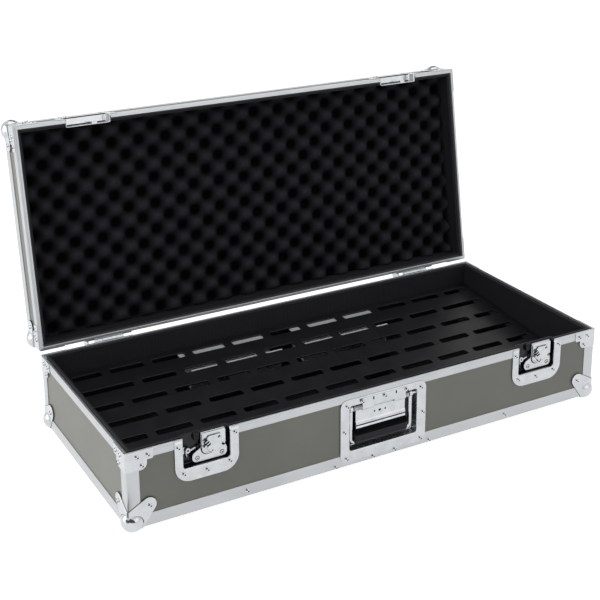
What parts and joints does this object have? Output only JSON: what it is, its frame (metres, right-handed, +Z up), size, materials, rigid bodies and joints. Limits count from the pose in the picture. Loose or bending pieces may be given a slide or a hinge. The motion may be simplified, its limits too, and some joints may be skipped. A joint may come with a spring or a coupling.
{
  "type": "guitar pedal case",
  "caption": "Shallow flight case for guitar pedals with a stop-hinged foam-lined lid, recessed quarter-turn latches, a sprung handle and a sloping slotted deck.",
  "frame": {"origin": "middle of the bottom panel's outer face; the ball corners stand 9.5 mm below it", "axes": "+X to the right along the case's length, +Y from the front, where the latches are, to the hinges, +Z up"},
  "size_m": [0.96, 0.5614, 0.5548],
  "materials": {
    "laminated_plywood": "grey phenolic laminate, fine satin texture",
    "plywood": "plain plywood",
    "aluminium_section": "natural anodised extrusion",
    "aluminium_sheet": "mill-finish sheet",
    "lining_foam": "black closed-cell foam with a woven face",
    "egg_crate_foam": "black convoluted foam",
    "black_powder_coat": "satin black powder coat",
    "steel": "bright steel",
    "rivet_zinc": "bright zinc plate",
    "zinc_plate": "bright zinc plate",
    "grip_rubber": "black ribbed rubber"
  },
  "bodies": {
    "base": {"base_bottom_panel": "laminated_plywood", "base_front_panel": "laminated_plywood", "base_back_panel": "laminated_plywood", "base_left_panel": "laminated_plywood", "base_right_panel": "laminated_plywood", "base_bottom_angles": "aluminium_section", "base_corner_angles": "aluminium_section", "base_rim_profile": "aluminium_section", "base_wall_lining": "lining_foam", "base_floor_mat": "lining_foam", "base_ball_corners": "zinc_plate", "base_corner_braces": "zinc_plate", "base_rivets": "rivet_zinc", "latch_left_base_dish": "zinc_plate", "latch_right_base_dish": "zinc_plate", "latch_left_mechanism_plate": "zinc_plate", "latch_right_mechanism_plate": "zinc_plate", "handle_dish": "zinc_plate", "handle_cover_strip": "zinc_plate", "handle_pivot_pin": "steel", "handle_return_springs": "steel", "hinge_left_base_leaf": "zinc_plate", "hinge_right_base_leaf": "zinc_plate", "hinge_pins": "steel", "deck_plate": "black_powder_coat", "deck_runners": "black_powder_coat", "deck_posts": "plywood", "deck_left_cradle": "aluminium_sheet", "deck_right_cradle": "aluminium_sheet", "deck_screws": "steel"},
    "lid": {"lid_top_panel": "laminated_plywood", "lid_front_panel": "laminated_plywood", "lid_back_panel": "laminated_plywood", "lid_left_panel": "laminated_plywood", "lid_right_panel": "laminated_plywood", "lid_top_angles": "aluminium_section", "lid_corner_angles": "aluminium_section", "lid_rim_profile": "aluminium_section", "lid_wall_lining": "lining_foam", "lid_egg_crate_foam": "egg_crate_foam", "lid_ball_corners": "zinc_plate", "lid_corner_braces": "zinc_plate", "lid_rivets": "rivet_zinc", "latch_left_lid_dish": "zinc_plate", "latch_right_lid_dish": "zinc_plate", "latch_keepers": "zinc_plate", "hinge_left_lid_leaf": "zinc_plate", "hinge_right_lid_leaf": "zinc_plate"},
    "left_latch_turn": {"latch_left_rotor": "zinc_plate", "latch_left_cam_hook": "zinc_plate", "latch_left_wing_pin": "steel"},
    "left_latch_wing": {"latch_left_wing": "zinc_plate"},
    "right_latch_turn": {"latch_right_rotor": "zinc_plate", "latch_right_cam_hook": "zinc_plate", "latch_right_wing_pin": "steel"},
    "right_latch_wing": {"latch_right_wing": "zinc_plate"},
    "handle": {"handle_bail": "zinc_plate", "handle_flap": "zinc_plate", "handle_grip": "grip_rubber"}
  },
  "joints": [
    {"name": "lid_hinge", "type": "hinge", "parent": "base", "child": "lid", "pos_m": [0, 0.21, 0.1362], "axis": [1, 0, 0], "range_deg": [0, 99.4]},
    {"name": "handle_fold", "type": "hinge", "parent": "base", "child": "handle", "pos_m": [0, -0.2, 0.104], "axis": [-1, 0, 0], "range_deg": [0, 90], "stiffness_Nm_per_rad": 0.15, "springref_deg": -34.38},
    {"name": "left_latch_turn", "type": "hinge", "parent": "base", "child": "left_latch_turn", "pos_m": [-0.3304, -0.191, 0.1055], "axis": [0, 1, 0], "range_deg": [0, 90]},
    {"name": "left_wing_fold", "type": "hinge", "parent": "left_latch_turn", "child": "left_latch_wing", "pos_m": [-0.3304, -0.2033, 0.1055], "axis": [0.7071, 0, -0.7071], "range_deg": [0, 90]},
    {"name": "right_latch_turn", "type": "hinge", "parent": "base", "child": "right_latch_turn", "pos_m": [0.3376, -0.191, 0.1055], "axis": [0, 1, 0], "range_deg": [0, 90]},
    {"name": "right_wing_fold", "type": "hinge", "parent": "right_latch_turn", "child": "right_latch_wing", "pos_m": [0.3376, -0.2033, 0.1055], "axis": [0.7071, 0, -0.7071], "range_deg": [0, 90]}
  ]
}
